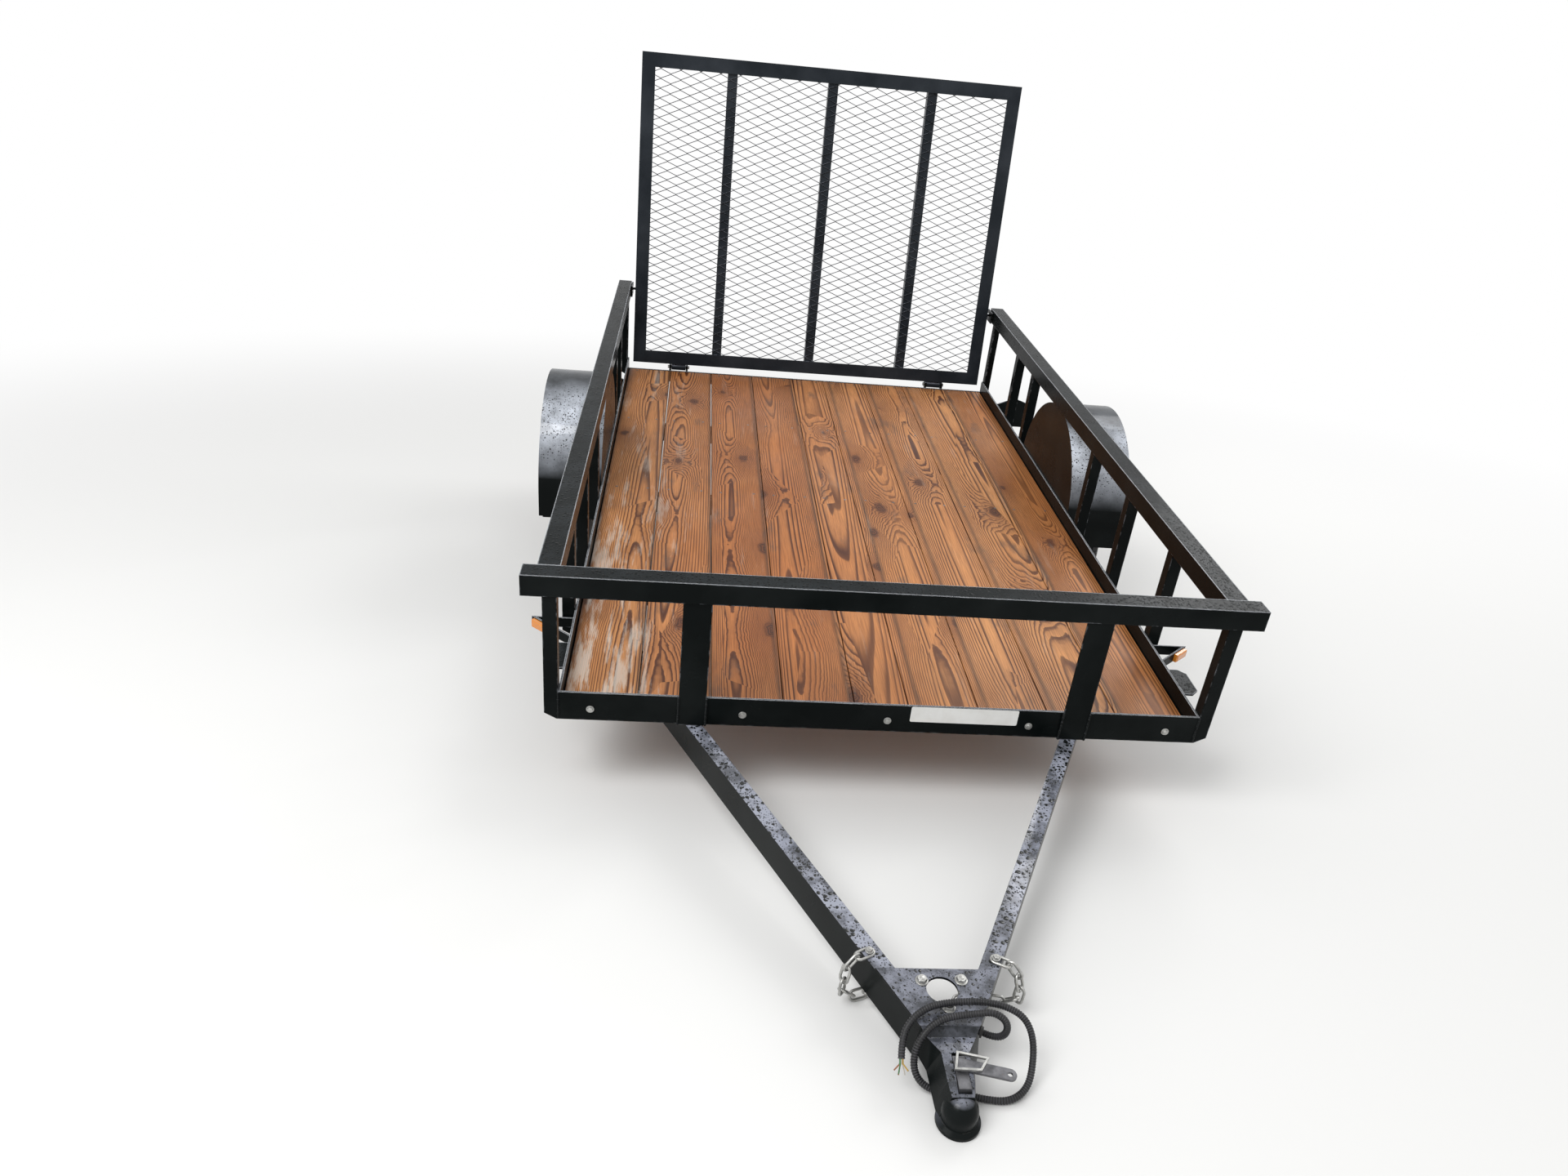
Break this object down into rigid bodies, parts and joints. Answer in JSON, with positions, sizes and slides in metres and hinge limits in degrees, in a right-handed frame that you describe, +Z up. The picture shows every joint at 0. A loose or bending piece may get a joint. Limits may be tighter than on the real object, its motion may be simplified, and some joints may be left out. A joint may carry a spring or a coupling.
{
  "type": "utility trailer",
  "caption": "Single-axle open utility trailer with a plank deck, angle-iron side rails, A-frame tongue with ball coupler and a fold-down mesh ramp gate.",
  "frame": {"origin": "on the floor under the middle of the trailer's length and width, as it stands parked on its tyres and its coupler", "axes": "+X to the trailer's right, +Y to its rear with the coupler towards -Y, +Z up"},
  "size_m": [1.916, 3.452, 1.7431],
  "materials": {
    "amber_lens": "amber lens",
    "bare_steel": "greased steel",
    "black_paint": "gloss black paint, wet, worn at the edges",
    "loom": "black corrugated loom",
    "pine": "oiled orange-brown knotty pine, wet",
    "red_lens": "red lens",
    "rim_paint": "white painted steel",
    "spring_steel": "black leaf spring steel",
    "tyre": "black tread rubber",
    "wire": "coloured wire ends",
    "zinc": "zinc plated"
  },
  "bodies": {
    "chassis": {"axle": "bare_steel", "chain_anchors": "zinc", "chain_left": "zinc", "chain_right": "zinc", "coupler": "black_paint", "coupler_latch": "zinc", "crossmember_1": "black_paint", "crossmember_2": "black_paint", "crossmember_3": "black_paint", "deck_board_1": "pine", "deck_board_2": "pine", "deck_board_3": "pine", "deck_board_4": "pine", "deck_board_5": "pine", "deck_board_6": "pine", "deck_board_7": "pine", "deck_board_8": "pine", "deck_board_9": "pine", "fender_left": "black_paint", "fender_right": "black_paint", "frame_front": "black_paint", "frame_left": "black_paint", "frame_rear": "black_paint", "frame_right": "black_paint", "harness_grommet": "loom", "harness_loom": "loom", "harness_wires": "wire", "hinge_lugs": "black_paint", "hinge_pins": "zinc", "latch_keepers": "black_paint", "latch_wire": "zinc", "marker_bracket_left": "black_paint", "marker_bracket_right": "black_paint", "marker_lamps": "amber_lens", "posts_front": "black_paint", "posts_left": "black_paint", "posts_right": "black_paint", "rail_front": "black_paint", "rail_left": "black_paint", "rail_right": "black_paint", "spring_hangers_left": "black_paint", "spring_hangers_right": "black_paint", "spring_left": "spring_steel", "spring_plates": "spring_steel", "spring_right": "spring_steel", "tail_brackets": "black_paint", "tail_lamps": "red_lens", "tie_plates": "black_paint", "tongue_left": "black_paint", "tongue_right": "black_paint"},
    "wheel_left": {"hub_left": "bare_steel", "rim_left": "rim_paint", "tyre_left": "tyre"},
    "wheel_right": {"hub_right": "bare_steel", "rim_right": "rim_paint", "tyre_right": "tyre"},
    "gate": {"gate_bars": "black_paint", "gate_frame": "black_paint", "gate_mesh": "black_paint"}
  },
  "joints": [
    {"name": "wheel_left_spin", "type": "hinge", "parent": "chassis", "child": "wheel_left", "pos_m": [-0.862, 0.68556, 0.266], "axis": [1, 0, 0], "continuous": true},
    {"name": "wheel_right_spin", "type": "hinge", "parent": "chassis", "child": "wheel_right", "pos_m": [0.862, 0.68556, 0.266], "axis": [1, 0, 0], "continuous": true},
    {"name": "gate_fold", "type": "hinge", "parent": "chassis", "child": "gate", "pos_m": [0, 1.68968, 0.54681], "axis": [-1, 0, 0], "range_deg": [0, 115.66]}
  ]
}
